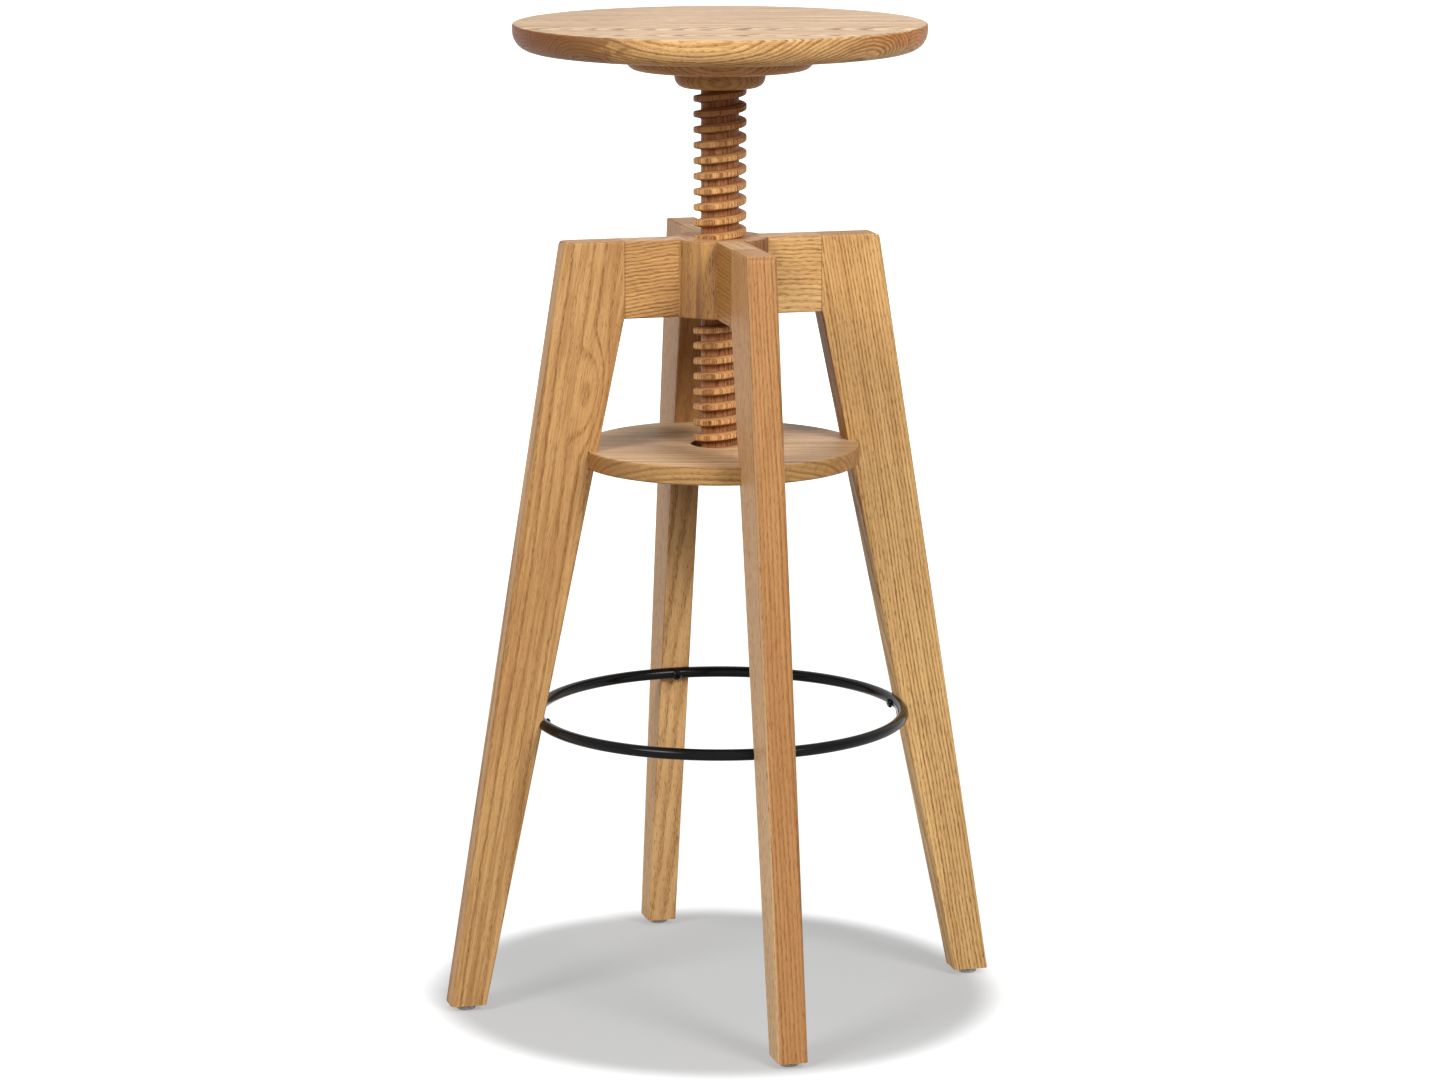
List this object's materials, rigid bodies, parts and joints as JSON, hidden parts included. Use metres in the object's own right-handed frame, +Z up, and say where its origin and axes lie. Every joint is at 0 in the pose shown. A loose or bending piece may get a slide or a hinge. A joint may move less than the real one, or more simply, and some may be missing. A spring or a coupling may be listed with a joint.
{
  "type": "adjustable bar stool",
  "caption": "Adjustable oak bar stool: round seat on a wooden screw, splayed legs, round shelf and black foot ring.",
  "frame": {"origin": "on the floor, under the centre of the screw", "axes": "+Z up along the screw, +X through the right leg, -Y through the front leg"},
  "size_m": [0.47, 0.47, 0.82],
  "materials": {
    "oak_seat": "matte oiled oak",
    "oak_brown": "matte oiled oak",
    "oak_frame": "matte oiled oak",
    "beech": "plain dowel wood",
    "black_steel": "satin black",
    "zinc_steel": "zinc plated",
    "grey_nylon": "grey translucent nylon"
  },
  "bodies": {
    "frame": {"hub": "oak_frame", "arm_right": "oak_frame", "arm_back": "oak_frame", "arm_left": "oak_frame", "arm_front": "oak_frame", "leg_right": "oak_frame", "leg_back": "oak_frame", "leg_left": "oak_frame", "leg_front": "oak_frame", "hub_dowels": "beech", "leg_dowels": "beech", "shelf": "oak_frame", "foot_ring": "black_steel", "ring_screws": "black_steel", "glide_right": "grey_nylon", "glide_back": "grey_nylon", "glide_left": "grey_nylon", "glide_front": "grey_nylon", "glide_nails": "zinc_steel"},
    "lift": {"centre_bolt": "zinc_steel", "bolt_washer": "zinc_steel"},
    "seat": {"seat": "oak_seat", "backing_disc": "oak_brown", "collar": "oak_brown", "wooden_screw": "oak_frame", "seat_screws": "zinc_steel"}
  },
  "joints": [
    {"name": "seat_lift", "type": "slide", "parent": "frame", "child": "lift", "axis": [0, 0, 1], "range_m": [-0.1202, 0.0802]},
    {"name": "seat_turn", "type": "hinge", "parent": "lift", "child": "seat", "pos_m": [0, 0, 0.7], "axis": [0, 0, 1], "range_deg": [-3375, 2250]}
  ],
  "couplings": [
    {"joint": "seat_lift", "follows": "seat_turn", "m_per_rad": 0.0020372}
  ]
}
